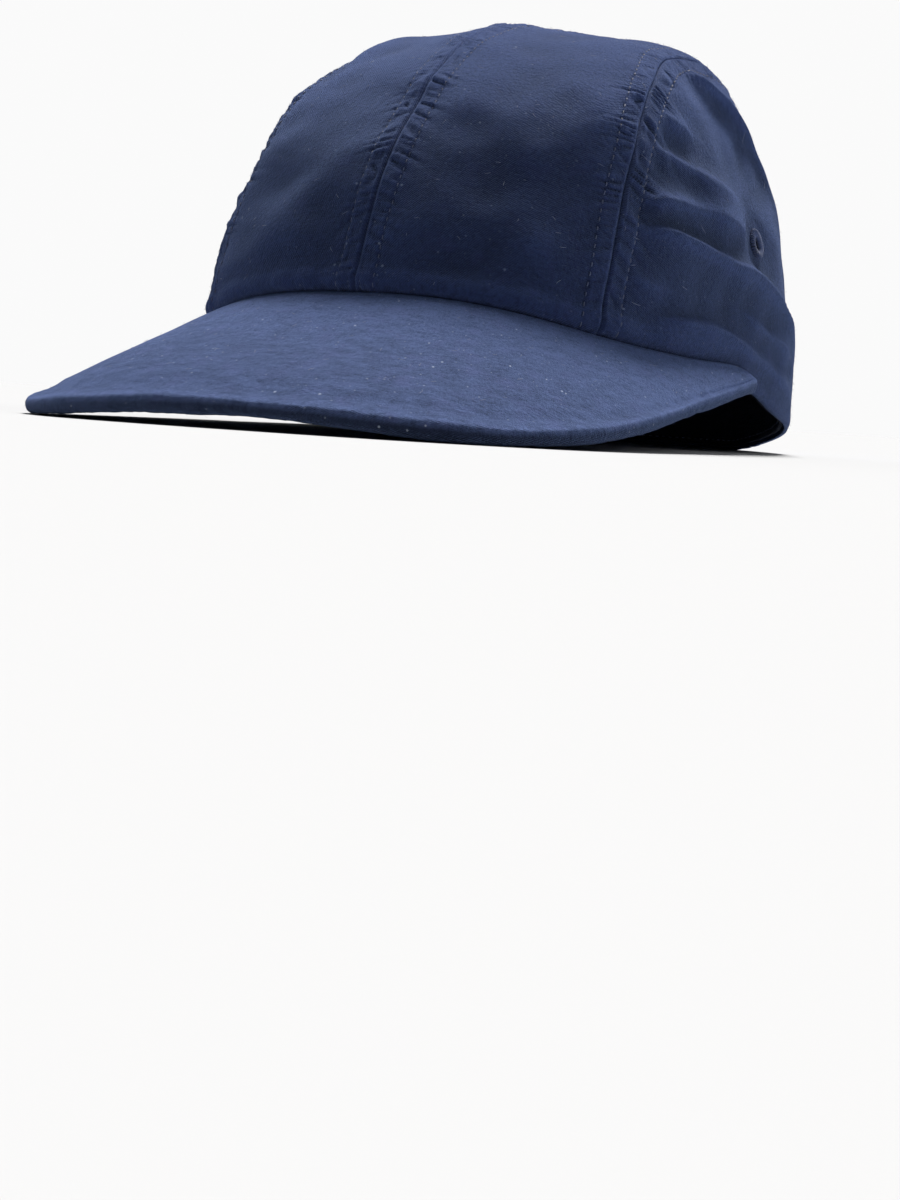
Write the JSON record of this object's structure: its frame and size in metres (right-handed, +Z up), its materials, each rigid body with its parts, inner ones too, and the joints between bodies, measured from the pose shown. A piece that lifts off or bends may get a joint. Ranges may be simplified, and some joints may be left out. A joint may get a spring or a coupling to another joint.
{
  "type": "soft four-panel cotton cap",
  "caption": "Soft unlined cotton cap with a long flat peak, centre and side panels joined by stitched seams, a dark sweatband and sewn eyelets.",
  "frame": {"origin": "centre of the bounding box, on the surface that the cap rests on", "axes": "+Z up, -Y out of the peak, +X towards the cap's left side"},
  "size_m": [0.1762, 0.2746, 0.1296],
  "materials": {
    "navy_cotton": "matte brushed cotton twill, washed, with pale lint",
    "navy_thread": "satin sewing thread",
    "dark_band": "matte cotton"
  },
  "bodies": {
    "root": {"crown_panel_left": "navy_cotton", "crown_panel_right": "navy_cotton", "side_panel_left": "navy_cotton", "side_panel_right": "navy_cotton", "peak_cover": "navy_cotton", "peak_underside": "navy_cotton", "sweatband": "dark_band", "eyelet_left": "navy_thread", "eyelet_right": "navy_thread"}
  },
  "joints": []
}
